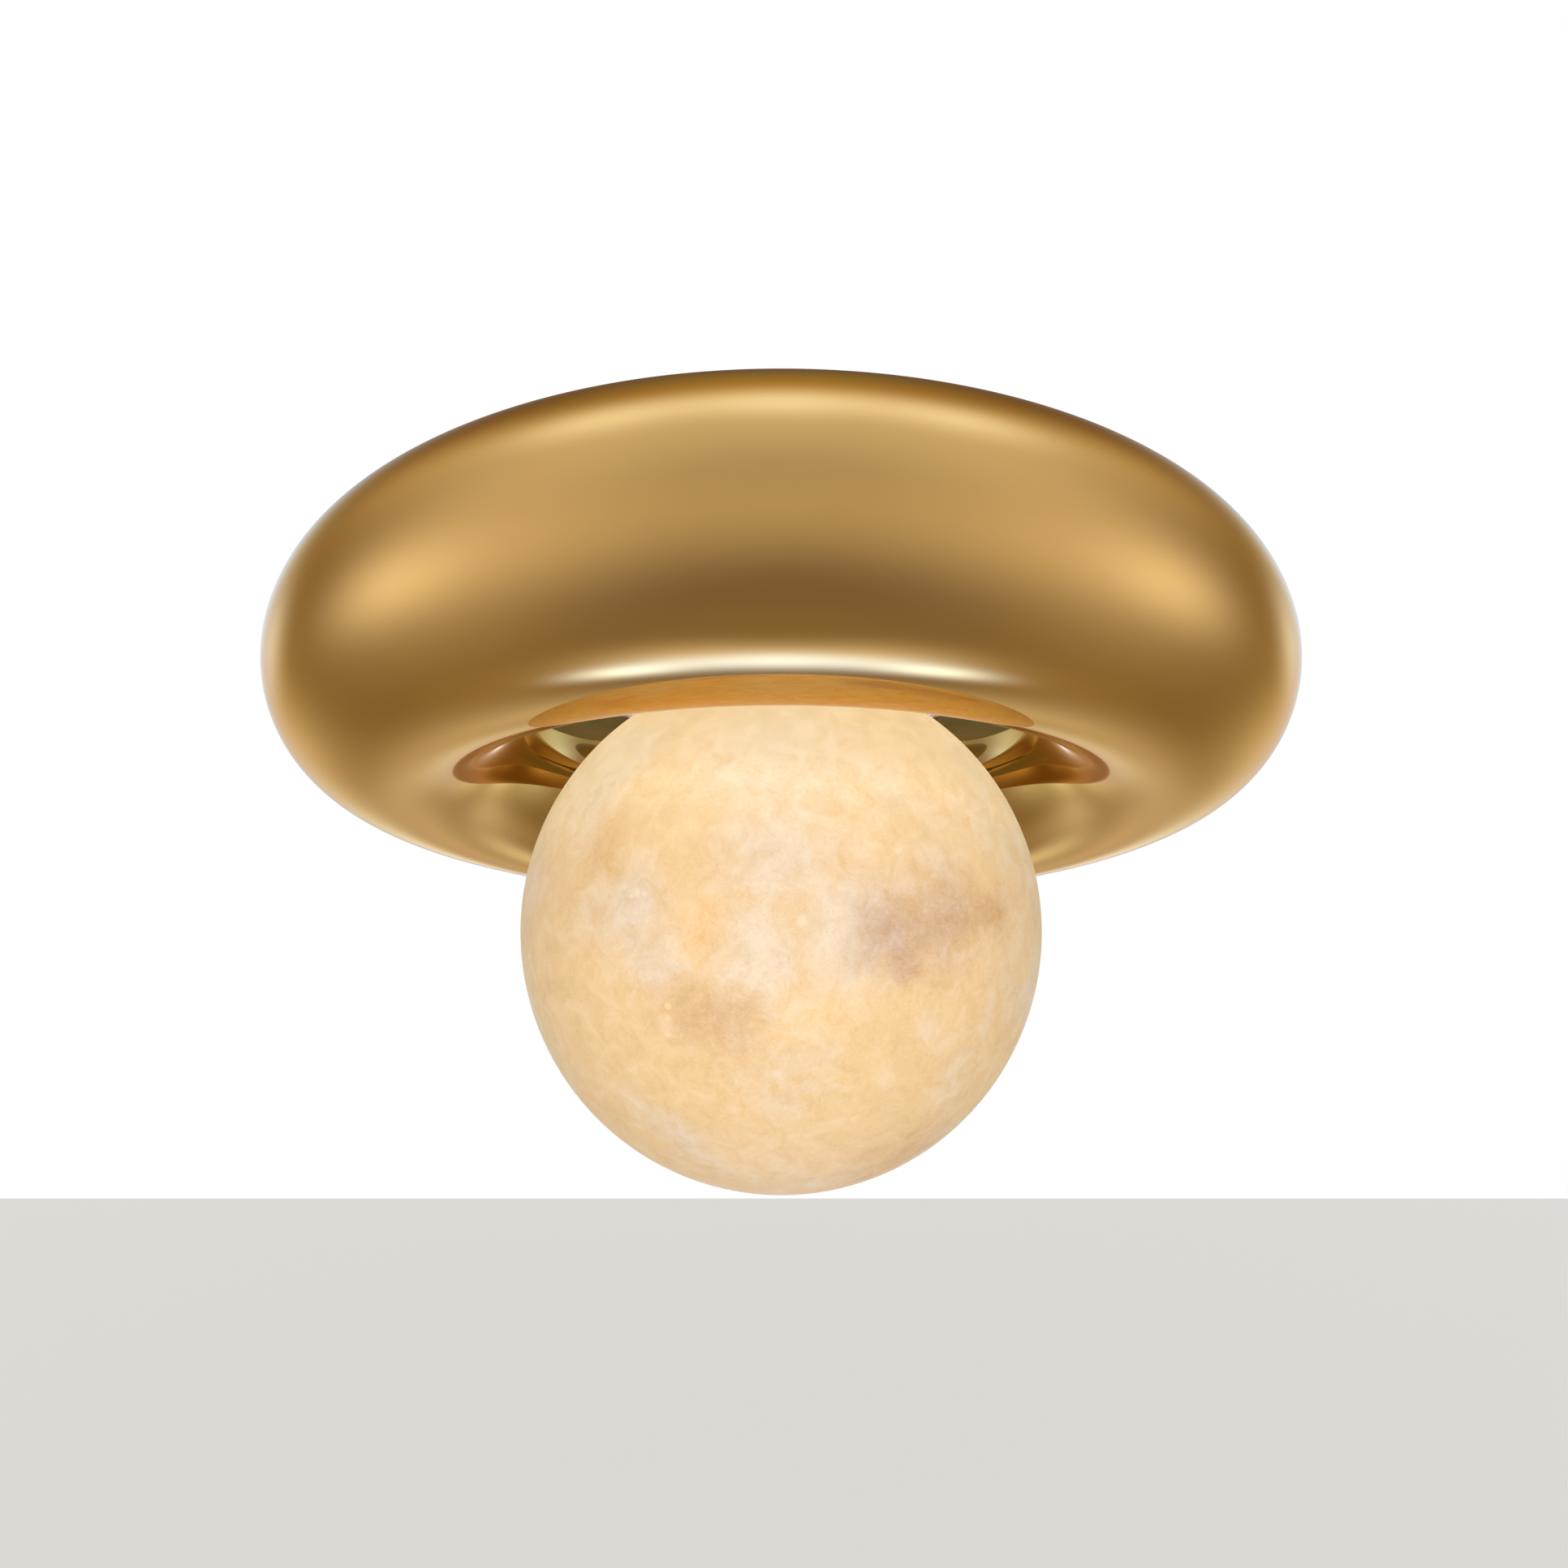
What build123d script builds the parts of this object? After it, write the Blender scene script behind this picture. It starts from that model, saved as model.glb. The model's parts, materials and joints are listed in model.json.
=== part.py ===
from build123d import *
import os
from math import radians, sqrt, tan

os.makedirs("parts", exist_ok=True)

# Millimetres. The ceiling is the plane z = 0, the fixture hangs below it on the Z axis.

# Spun brass ring: a round tube bent into a circle, cut flat where it meets the ceiling
ring_radius = 150.7
tube_radius = 45.6
ring_wall = 1.5
ring_sunk = 2.0
lip_width = 8.0

# Steel back plate
plate_thickness = 2.0
plate_margin = 1.0
hub_inner_radius = 69.0
hub_outer_radius = 90.0
arm_width = 26.0
arm_count = 4
arm_angle = 45.0

# Canopy pan
pan_depth = 31.0
pan_radius = 74.0
pan_sheet = 1.5
pan_bend = 6.0
pan_flange_width = 14.0

# Hollow stone globe
globe_radius = 100.0
stone_wall = 8.0
mouth_radius = 40.0
seat_radius = 46.0

# Threaded fitter between the globe and the fixture
holder_flange_radius = 47.0
holder_flange_thickness = 3.0
holder_skirt_length = 11.0
holder_skirt_wall = 2.9
slip_washer_thickness = 1.0
slip_washer_width = 9.0
collar_wall = 3.6
collar_flange_radius = 47.0
collar_flange_thickness = 2.5
collar_length = 18.0
gasket_thickness = 1.0
clamp_ring_radius = 47.0
clamp_ring_thickness = 4.0
clamp_notch_count = 4
clamp_notch_width = 4.0

# Crossbar on the junction box
crossbar_end = 6.0
crossbar_width = 22.0
crossbar_thickness = 2.0
stud_spacing = 115.0
box_screw_spacing = 82.0
box_slot_length = 16.0
box_slot_radius = 2.3

# Studs and cap nuts
stud_radius = 2.0
stud_reach = 5.8
stud_nut_flats = 7.0
stud_nut_height = 3.2
washer_radius = 5.0
washer_thickness = 0.8
cap_nut_radius = 6.0
cap_nut_height = 8.0
cap_nut_dome = 2.0
cap_nut_bore_depth = 5.4
knurl_count = 18
knurl_radius = 0.55

# Centre tube, nuts and washers
nipple_radius = 5.0
nipple_bore = 3.4
nipple_rise = 7.0
nipple_nut_flats = 14.0
nipple_nut_height = 3.0
star_washer_radius = 8.0
star_washer_thickness = 0.8
star_tooth_count = 10
star_notch_radius = 1.1
bushing_wall = 0.8
bushing_rim = 1.6
bushing_depth = 6.0
spacer_length = 12.0
spacer_radius = 7.5

# Lamp cup, lamp holders and two-pin bulbs
cup_radius = 29.0
cup_height = 28.0
cup_wall = 1.2
cup_bend = 2.4
nipple_end_reach = 9.0
lamp_count = 3
lamp_circle = 15.5
lamp_holder_radius = 10.5
lamp_holder_height = 18.0
lamp_holder_chamfer = 1.2
lamp_holder_boss_radius = 6.0
lamp_holder_boss_height = 4.0
lamp_hub_radius = 8.5
lamp_hub_height = 8.0
lamp_hub_insert = 5.0
bus_tab_width = 1.6
bus_tab_thickness = 0.5
bus_tab_offset = 2.5
bus_tab_insert = 2.0
bus_tab_rise = 2.0
pin_spacing = 9.0
pin_radius = 0.8
pin_length = 14.0
bulb_base_radius = 8.0
bulb_base_height = 12.0
bulb_envelope_radius = 7.6
bulb_envelope_length = 36.0
bulb_envelope_wall = 0.9
bulb_board_width = 9.0
bulb_board_thickness = 1.2
bulb_board_length = 28.0

# Screws, rivets and the earth screw
screw_radius = 1.5
screw_head_radius = 2.9
screw_length = 6.0
ring_screw_count = 8
rivet_radius = 1.6
rivet_head_radius = 3.2
rivet_head_height = 1.2
rivet_crown_radius = 1.9
rivet_crown_height = 1.0
ground_screw_offset = 22.0
ground_screw_radius = 2.0
ground_head_flats = 7.0
ground_head_height = 3.0
ground_slot_width = 1.0
ground_tag_radius = 4.5
ground_tag_thickness = 0.8

# Terminal block
block_length = 26.0
block_width = 12.0
block_height = 11.0
block_offset = 40.0
block_way_spacing = 8.0
block_way_radius = 1.7
terminal_screw_radius = 1.8
terminal_screw_height = 3.0
terminal_slot_width = 0.6
terminal_slot_depth = 0.8
block_corner = 1.0

# Leads between the centre tube, the terminal block and the earth screw
lead_radius = 1.0
lead_side = 1.3
lead_insert = 7.0
lead_crossing = 10.0
lead_under_bar = 3.0
lead_tail = 3.0

# Named clearances
running = 0.05
fixing = 0.3
loose = 0.4
soft = 0.05

# Heights, worked out from the ceiling down
ring_height = ring_sunk - tube_radius
pan_floor_top = pan_sheet - pan_depth
holder_top = -pan_depth
slip_top = holder_top - holder_flange_thickness
collar_top = slip_top - slip_washer_thickness
gasket_top = collar_top - collar_flange_thickness
seat_height = gasket_top - gasket_thickness
globe_height = seat_height - sqrt(globe_radius**2 - seat_radius**2)
collar_bottom = collar_top - collar_length
skirt_bottom = slip_top - holder_skirt_length
collar_outer = mouth_radius - fixing
collar_bore = collar_outer - collar_wall
skirt_radius = collar_bore - running
stone_inner = globe_radius - stone_wall
inner_mouth_height = globe_height + sqrt(stone_inner**2 - mouth_radius**2)
clamp_top = globe_height + sqrt(stone_inner**2 - (clamp_ring_radius + fixing) ** 2)
cup_top = slip_top - spacer_length
cup_bottom = cup_top - cup_height
nipple_top = pan_floor_top + nipple_rise
nipple_bottom = cup_top - cup_wall - nipple_nut_height - nipple_end_reach
lamp_hub_low = cup_bottom + cup_wall
lamp_hub_top = lamp_hub_low + lamp_hub_height
lamp_holder_bottom = cup_bottom - lamp_holder_height
bulb_base_bottom = lamp_holder_bottom - bulb_base_height
stud_bottom = -pan_depth - stud_reach
cap_nut_top = -pan_depth - washer_thickness


# Radius of the ring tube's wall at a height, on the inner or the outer side of the ring
def tube_edge(height, side, inset=0.0):
    reach = sqrt((tube_radius - inset) ** 2 - (height - ring_height) ** 2)
    return ring_radius + side * reach


# Solid of revolution about the fixture's axis from the corners of its half section
def turned(*corners):
    return revolve(Plane.XZ * make_face(Polyline(*corners, close=True)), Axis.Z)


# Rectangle of a half section, from inner to outer radius and from low to high
def band(inner, outer, low, high):
    size = Rectangle(outer - inner, high - low, align=(Align.MIN, Align.MIN))
    return Pos(inner, low) * size


# Ring-shaped solid with a rectangular section
def hoop(inner, outer, low, high):
    return revolve(Plane.XZ * band(inner, outer, low, high), Axis.Z)


# Upright cylinder between two heights
def rod(radius, low, high):
    return Pos(0, 0, low) * Cylinder(radius, high - low, align=(Align.CENTER, Align.CENTER, Align.MIN))


# Hexagonal nut or head with chamfered corners, hanging from a height; a bore of 0 leaves it solid
def hex_nut(flats, bore, top, height):
    corner = flats / sqrt(3)
    body = extrude(RegularPolygon(corner, 6), height)
    bevel = corner - flats / 2
    limit = Plane.XZ * make_face(
        Polyline(
            (0, 0),
            (flats / 2, 0),
            (corner, bevel),
            (corner, height - bevel),
            (flats / 2, height),
            (0, height),
            close=True,
        )
    )
    body = body & revolve(limit, Axis.Z)
    if bore:
        body -= rod(bore, 0, height)
    return Pos(0, 0, top - height) * body


# Same solid set out at equal angles on a circle
def on_circle(solid, radius, count, start=0.0):
    turns = [start + 360 / count * i for i in range(count)]
    return [Rot(0, 0, a) * Pos(radius, 0, 0) * solid for a in turns]


# The two places of the studs
def stud_places():
    return [Pos(side * stud_spacing / 2, 0, 0) for side in (-1, 1)]


# Flat-headed screw driven up through the back plate's countersink from above
def flat_screw():
    shank_end = -screw_length
    return turned(
        (0, 0),
        (screw_head_radius, 0),
        (screw_radius, screw_radius - screw_head_radius),
        (screw_radius, shank_end + screw_radius),
        (0, shank_end),
    )


# Hole that a flat-headed screw seats in
def screw_hole(depth):
    gap = running
    return turned(
        (0, 0),
        (screw_head_radius + gap, 0),
        (screw_radius + gap, screw_radius - screw_head_radius),
        (screw_radius + gap, -depth),
        (0, -depth),
    )


def lip_screw_radius():
    return tube_edge(-plate_thickness, 1, ring_wall) - lip_width / 2


# Brass shell: tube wall open at the ceiling, with two lips turned in under the back plate
def ring_shell():
    top = -plate_thickness
    under = top - ring_wall
    below = band(0, 2 * ring_radius, -4 * tube_radius, top)
    tube = Pos(ring_radius, ring_height) * Circle(tube_radius)
    hollow = Pos(ring_radius, ring_height) * Circle(tube_radius - ring_wall)
    lips = hollow & band(0, 2 * ring_radius, under, top)
    inner_lip = tube_edge(top, -1, ring_wall) + lip_width
    outer_lip = tube_edge(top, 1, ring_wall) - lip_width
    gap = band(inner_lip, outer_lip, under, top)
    section = ((tube & below) - hollow) + (lips - gap)
    shell = revolve(Plane.XZ * section, Axis.Z)
    for hole in on_circle(screw_hole(plate_thickness + ring_wall), lip_screw_radius(), ring_screw_count):
        shell -= hole
    return shell


# Steel plate: outer annulus over the ring's lips, arms across the throat and a hub
def back_plate():
    outer = tube_edge(-plate_thickness, 1) - plate_margin
    inner = tube_edge(-plate_thickness, -1) + plate_margin
    flat = Circle(outer) - Circle(inner)
    middle = (inner + hub_inner_radius) / 2
    arm = Rectangle(inner - hub_inner_radius, arm_width)
    for arm_place in on_circle(arm, middle, arm_count, arm_angle):
        flat += arm_place
    flat = flat + Circle(hub_outer_radius) - Circle(hub_inner_radius)
    corners = flat.edges().filter_by(GeomType.LINE).vertices()
    flat = fillet(corners, arm_width / 5)
    plate = Pos(0, 0, -plate_thickness) * extrude(flat, plate_thickness)
    for hole in on_circle(screw_hole(plate_thickness), lip_screw_radius(), ring_screw_count):
        plate -= hole
    for hole in on_circle(rod(rivet_radius, -plate_thickness, 0), rivet_circle(), arm_count, arm_angle):
        plate -= hole
    return plate


def ring_screws():
    return on_circle(flat_screw(), lip_screw_radius(), ring_screw_count)


def rivet_circle():
    return pan_radius + pan_flange_width / 2


# Spun cup that hides the junction box and carries the centre tube
def canopy_pan():
    floor = -pan_depth
    flange_top = -plate_thickness
    flange_under = flange_top - pan_sheet
    inside = pan_radius - pan_sheet
    rim = pan_radius + pan_flange_width
    section = make_face(
        Polyline(
            (nipple_radius + running, floor),
            (pan_radius, floor),
            (pan_radius, flange_under),
            (rim, flange_under),
            (rim, flange_top),
            (inside, flange_top),
            (inside, floor + pan_sheet),
            (nipple_radius + running, floor + pan_sheet),
            close=True,
        )
    )
    section = bend_corner(section, (pan_radius, floor), pan_bend + pan_sheet)
    section = bend_corner(section, (inside, floor + pan_sheet), pan_bend)
    section = bend_corner(section, (pan_radius, flange_under), pan_sheet)
    section = bend_corner(section, (inside, flange_top), 2 * pan_sheet)
    pan = revolve(Plane.XZ * section, Axis.Z)
    for place in stud_places():
        pan -= place * rod(stud_radius + loose, floor, floor + pan_sheet)
    for hole in on_circle(rod(rivet_radius, flange_under, flange_top), rivet_circle(), arm_count, arm_angle):
        pan -= hole
    return pan


# Rounds one corner of a flat section
def bend_corner(section, corner, radius):
    nearest = section.vertices().sort_by_distance((corner[0], corner[1], 0))[0]
    return fillet(nearest, radius)


# Rivets: countersunk flush with the plate's top, domed under the pan's flange
def pan_rivets():
    under = -plate_thickness - pan_sheet
    dome = turned(
        (0, under - rivet_head_height),
        (rivet_crown_radius, under - rivet_crown_height),
        (rivet_head_radius, under),
        (rivet_radius, under),
        (rivet_radius, 0),
        (0, 0),
    )
    return on_circle(dome, rivet_circle(), arm_count, arm_angle)


# Strap with slots for the box screws, tapped holes for the studs and one for the earth screw
def crossbar():
    flat = SlotOverall(stud_spacing + 2 * crossbar_end, crossbar_width) - Circle(nipple_radius)
    slot = SlotOverall(box_slot_length, 2 * box_slot_radius)
    for side in (-1, 1):
        flat -= Pos(side * box_screw_spacing / 2, 0) * slot
        flat -= Pos(side * stud_spacing / 2, 0) * Circle(stud_radius + running)
    flat -= Pos(-ground_screw_offset, 0) * Circle(ground_screw_radius + running)
    return Pos(0, 0, -crossbar_thickness) * extrude(flat, crossbar_thickness)


def mounting_studs():
    body = rod(stud_radius, stud_bottom, 0)
    end = body.faces().sort_by(Axis.Z)[0].edges()
    body = chamfer(end, stud_radius / 4)
    return [place * body for place in stud_places()]


def stud_nuts():
    nut = hex_nut(stud_nut_flats, stud_radius + running, -crossbar_thickness, stud_nut_height)
    return [place * nut for place in stud_places()]


def cap_washers():
    washer = hoop(stud_radius + loose, washer_radius, cap_nut_top, -pan_depth)
    return [place * washer for place in stud_places()]


# Knurled blind nut with a domed end
def cap_nut():
    low = cap_nut_top - cap_nut_height
    dome_radius = (cap_nut_radius**2 + cap_nut_dome**2) / (2 * cap_nut_dome)
    body = rod(cap_nut_radius, low, cap_nut_top) & Pos(0, 0, low + dome_radius) * Sphere(dome_radius)
    body -= rod(stud_radius + running, cap_nut_top - cap_nut_bore_depth, cap_nut_top)
    groove = rod(knurl_radius, low, cap_nut_top)
    for cut in on_circle(groove, cap_nut_radius, knurl_count):
        body -= cut
    return body


# Threaded tube down the middle
def center_nipple():
    tube = rod(nipple_radius, nipple_bottom, nipple_top)
    tube = chamfer(tube.edges().filter_by(GeomType.CIRCLE), bushing_wall / 2)
    return tube - rod(nipple_bore, nipple_bottom, nipple_top)


# Plastic sleeve that keeps the wires off the tube's sharp end
def nipple_bushing():
    outer = nipple_bore - running
    inner = outer - bushing_wall
    low = nipple_top - bushing_depth
    high = nipple_top + bushing_rim
    return turned(
        (inner, low),
        (outer, low),
        (outer, nipple_top),
        (nipple_radius, nipple_top),
        (nipple_radius - bushing_rim / 2, high),
        (inner + bushing_rim / 2, high),
        (inner, nipple_top),
    )


# Washer with a toothed rim
def nipple_star_washer():
    top = pan_floor_top + star_washer_thickness
    washer = hoop(nipple_radius + running, star_washer_radius, pan_floor_top, top)
    notch = rod(star_notch_radius, pan_floor_top, top)
    for cut in on_circle(notch, star_washer_radius, star_tooth_count):
        washer -= cut
    return washer


def nipple_top_nut():
    base = pan_floor_top + star_washer_thickness
    return hex_nut(nipple_nut_flats, nipple_radius + running, base + nipple_nut_height, nipple_nut_height)


# Turned brass flange with a skirt that the globe's collar screws on to
def globe_holder():
    skirt_inner = skirt_radius - holder_skirt_wall
    entry = holder_skirt_wall / 4
    return turned(
        (nipple_radius + running, holder_top),
        (holder_flange_radius - entry, holder_top),
        (holder_flange_radius, holder_top - entry),
        (holder_flange_radius, slip_top),
        (skirt_radius, slip_top),
        (skirt_radius, skirt_bottom + entry),
        (skirt_radius - entry, skirt_bottom),
        (skirt_inner, skirt_bottom),
        (skirt_inner, slip_top),
        (nipple_radius + running, slip_top),
    )


def slip_washer():
    inner = skirt_radius + fixing
    return hoop(inner, inner + slip_washer_width, collar_top, slip_top)


# Turned brass collar: flange over the stone's mouth, threaded bore, threaded outside for the clamp ring
def globe_collar():
    entry = collar_wall / 5
    return turned(
        (collar_bore, collar_top),
        (collar_flange_radius - entry, collar_top),
        (collar_flange_radius, collar_top - entry),
        (collar_flange_radius, gasket_top),
        (collar_outer, gasket_top),
        (collar_outer, collar_bottom + entry),
        (collar_outer - entry, collar_bottom),
        (collar_bore, collar_bottom),
    )


def mouth_gasket():
    return hoop(collar_outer + soft, seat_radius - soft, seat_height, gasket_top)


# Hollow stone ball with a ground seat round its mouth
def alabaster_globe():
    center = Pos(0, 0, globe_height)
    ball = center * Sphere(globe_radius) - center * Sphere(stone_inner)
    ball -= rod(mouth_radius, globe_height, globe_height + 2 * globe_radius)
    over = seat_height + globe_radius
    return ball - rod(globe_radius, seat_height, over)


# Soft wedge between the stone's round inside and the flat clamp ring
def inner_gasket():
    face = band(collar_outer + soft, clamp_ring_radius - soft, clamp_top, inner_mouth_height)
    face &= Pos(0, globe_height) * Circle(stone_inner - soft)
    return revolve(Plane.XZ * face, Axis.Z)


# Ring nut that pulls the collar down on the stone
def clamp_ring():
    low = clamp_top - clamp_ring_thickness
    entry = clamp_ring_thickness / 4
    ring = turned(
        (collar_outer + running, low),
        (clamp_ring_radius - entry, low),
        (clamp_ring_radius, low + entry),
        (clamp_ring_radius, clamp_top),
        (collar_outer + running, clamp_top),
    )
    size = (clamp_notch_width, clamp_notch_width, clamp_ring_thickness)
    notch = Pos(0, 0, low) * Box(*size, align=(Align.CENTER, Align.CENTER, Align.MIN))
    for cut in on_circle(notch, clamp_ring_radius, clamp_notch_count):
        ring -= cut
    return ring


def nipple_spacer():
    return hoop(nipple_radius + running, spacer_radius, cup_top, slip_top)


# Cup that hides the wire joints above the lamp holders
def lamp_cup():
    section = make_face(
        Polyline(
            (nipple_radius + running, cup_top),
            (cup_radius, cup_top),
            (cup_radius, cup_bottom),
            (cup_radius - cup_wall, cup_bottom),
            (cup_radius - cup_wall, cup_top - cup_wall),
            (nipple_radius + running, cup_top - cup_wall),
            close=True,
        )
    )
    section = bend_corner(section, (cup_radius, cup_top), cup_bend + cup_wall)
    section = bend_corner(section, (cup_radius - cup_wall, cup_top - cup_wall), cup_bend)
    return revolve(Plane.XZ * section, Axis.Z)


def lamp_cup_nut():
    return hex_nut(nipple_nut_flats, nipple_radius + running, cup_top - cup_wall, nipple_nut_height)


# Disc that closes the cup, with a hole for the boss of each lamp holder
def lamp_plate():
    edge = cup_radius - cup_wall - running
    plate = rod(edge, cup_bottom, cup_bottom + cup_wall)
    hole = rod(lamp_holder_boss_radius + running, cup_bottom, cup_bottom + cup_wall)
    for cut in on_circle(hole, lamp_circle, lamp_count, 90):
        plate -= cut
    return plate


# Moulded hub in the middle of the cup: the leads push in from above, the lamp holders' tabs from the sides
def lamp_hub():
    hub = rod(lamp_hub_radius, lamp_hub_low, lamp_hub_top)
    hub = chamfer(hub.edges().sort_by(Axis.Z)[-1], cup_wall / 2)
    for side in (-1, 1):
        bore = rod(lead_radius + running, lamp_hub_top - lamp_hub_insert, lamp_hub_top)
        hub -= Pos(side * lead_side, 0, 0) * bore
    for slot in bus_tab_places(bus_tab(running)):
        hub -= slot
    return hub


# Flat tab from the hub to a lamp holder's boss, grown by a clearance for the slot it goes into
def bus_tab(grown=0.0):
    start = sqrt(lamp_hub_radius**2 - bus_tab_offset**2) - bus_tab_insert
    end = lamp_circle - sqrt(lamp_holder_boss_radius**2 - (bus_tab_offset - bus_tab_width / 2) ** 2)
    size = (end - start - running, bus_tab_width + 2 * grown, bus_tab_thickness + 2 * grown)
    tab = Box(*size, align=(Align.MIN, Align.CENTER, Align.CENTER))
    return Pos(start - grown, 0, lamp_hub_low + bus_tab_rise) * tab


def bus_tab_places(tab):
    pair = [Pos(0, side * bus_tab_offset, 0) * tab for side in (-1, 1)]
    return [Rot(0, 0, 90 + 360 / lamp_count * i) * one for i in range(lamp_count) for one in pair]


def lamp_bus_tabs():
    return bus_tab_places(bus_tab())


def lamp_place(number):
    return Rot(0, 0, 90 + 360 / lamp_count * number) * Pos(lamp_circle, 0, 0)


# Ceramic holder: round body with two pin bores and a boss through the lamp plate
def lamp_holder(number):
    body = rod(lamp_holder_radius, lamp_holder_bottom, cup_bottom)
    body = chamfer(body.faces().sort_by(Axis.Z)[0].edges(), lamp_holder_chamfer)
    body += rod(lamp_holder_boss_radius, cup_bottom, cup_bottom + lamp_holder_boss_height)
    depth = pin_length + loose
    for side in (-1, 1):
        bore = rod(pin_radius + running, lamp_holder_bottom, lamp_holder_bottom + depth)
        body -= Pos(0, side * pin_spacing / 2, 0) * bore
    return lamp_place(number) * body


def bulb_pins(number):
    pin = rod(pin_radius, lamp_holder_bottom, lamp_holder_bottom + pin_length)
    pin = chamfer(pin.faces().sort_by(Axis.Z)[-1].edges(), pin_radius / 2)
    return [lamp_place(number) * Pos(0, side * pin_spacing / 2, 0) * pin for side in (-1, 1)]


def bulb_base(number):
    base = rod(bulb_base_radius, bulb_base_bottom, lamp_holder_bottom)
    base = chamfer(base.edges().filter_by(GeomType.CIRCLE), lamp_holder_chamfer)
    return lamp_place(number) * base


# LED board that stands on the base, inside the envelope
def bulb_board(number):
    low = bulb_base_bottom - bulb_board_length
    size = (bulb_board_thickness, bulb_board_width, bulb_board_length)
    board = Pos(0, 0, low) * Box(*size, align=(Align.CENTER, Align.CENTER, Align.MIN))
    return lamp_place(number) * board


# Frosted capsule with a round end
def bulb_envelope(number):
    straight = bulb_envelope_length - bulb_envelope_radius
    low = bulb_base_bottom - straight
    end = Pos(0, 0, low)
    outer = rod(bulb_envelope_radius, low, bulb_base_bottom) + end * Sphere(bulb_envelope_radius)
    inside = bulb_envelope_radius - bulb_envelope_wall
    inner = rod(inside, low, bulb_base_bottom) + end * Sphere(inside)
    return lamp_place(number) * (outer - inner)


# Earth screw with a hexagonal head and the ring tag of the earth lead under it
def ground_screw():
    shank = rod(ground_screw_radius, -crossbar_thickness - ground_tag_thickness, 0)
    top = -crossbar_thickness - ground_tag_thickness
    head = hex_nut(ground_head_flats, 0, top, ground_head_height)
    slot_size = (2 * ground_head_flats, ground_slot_width, ground_head_height / 2)
    slot = Box(*slot_size, align=(Align.CENTER, Align.CENTER, Align.MIN))
    head -= Pos(0, 0, top - ground_head_height) * slot
    return Pos(-ground_screw_offset, 0, 0) * (shank + head)


# Ring tag with a tongue that reaches past the crossbar's edge
def ground_tag():
    low = -crossbar_thickness - ground_tag_thickness
    tag = rod(ground_tag_radius, low, -crossbar_thickness)
    tongue = (2 * lead_radius, ground_tongue_end(), ground_tag_thickness)
    tag += Pos(0, 0, low) * Box(*tongue, align=(Align.CENTER, Align.MIN, Align.MIN))
    tag -= rod(ground_screw_radius + running, low, -crossbar_thickness)
    return Pos(-ground_screw_offset, 0, 0) * tag


def ground_tongue_end():
    return crossbar_width / 2 + 2 * lead_radius


def block_ways():
    return [Pos(side * block_way_spacing, block_offset, 0) for side in (-1, 0, 1)]


# Plastic block with three cross bores and a screw well over each
def terminal_block():
    low = pan_floor_top
    size = (block_length, block_width, block_height)
    body = Pos(0, block_offset, low) * Box(*size, align=(Align.CENTER, Align.CENTER, Align.MIN))
    body = fillet(body.edges().filter_by(Axis.Z), block_corner)
    middle = low + block_height / 2
    bore = Pos(0, 0, middle) * Rot(90, 0, 0) * Cylinder(block_way_radius, block_width)
    well = rod(terminal_screw_radius + running, middle, low + block_height)
    for way in block_ways():
        body -= way * bore
        body -= way * well
    return body


def terminal_screw():
    top = pan_floor_top + block_height
    body = rod(terminal_screw_radius, top - terminal_screw_height, top)
    slot_size = (2 * terminal_screw_radius, terminal_slot_width, terminal_slot_depth)
    body -= Pos(0, 0, top) * Box(*slot_size, align=(Align.CENTER, Align.CENTER, Align.MAX))
    return body


# Height of the terminal block's bores and the face where the leads go in
def block_entry(way):
    return (way * block_way_spacing, block_offset - block_width / 2, pan_floor_top + block_height / 2)


# Round lead along straight runs joined by the largest tangent arcs that its runs allow
def lead(*points):
    route = [Vector(*point) for point in points]
    runs = [b - a for a, b in zip(route, route[1:])]
    radii = []
    for before, after in zip(runs, runs[1:]):
        turn = before.get_angle(after)
        shorter = min(before.length, after.length)
        radii.append(0.45 * shorter / tan(radians(turn / 2)))
    print("lead radii", [round(r, 1) for r in radii])
    path = FilletPolyline(*route, radius=radii)
    return sweep(Plane(origin=path @ 0, z_dir=path % 0) * Circle(lead_radius), path)


# Lead that climbs out of the centre tube, bends over and runs into one way of the block
def supply_lead(way):
    x, face, level = block_entry(way)
    side = (2 * way - 1) * lead_side
    high = -crossbar_thickness - lead_radius - lead_under_bar
    out = crossbar_width / 2 + lead_crossing
    return lead(
        (side, 0, lamp_hub_top - lamp_hub_insert),
        (side, 0, high),
        (side + (x - side) / 3, out, high),
        (x, face - lead_tail, level),
        (x, face + lead_insert, level),
    )


def ground_lead():
    x, face, level = block_entry(-1)
    start = ground_tongue_end() + running
    height = -crossbar_thickness - ground_tag_thickness / 2
    return lead(
        (-ground_screw_offset, start, height),
        (-ground_screw_offset, start + lead_crossing, height),
        (x, face - lead_tail, level),
        (x, face + lead_insert, level),
    )


def save(name, shape):
    solids = shape if isinstance(shape, list) else [shape]
    whole = solids[0] if len(solids) == 1 else Compound(children=solids)
    whole.label = name
    export_step(whole, f"parts/{name}.step")


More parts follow.
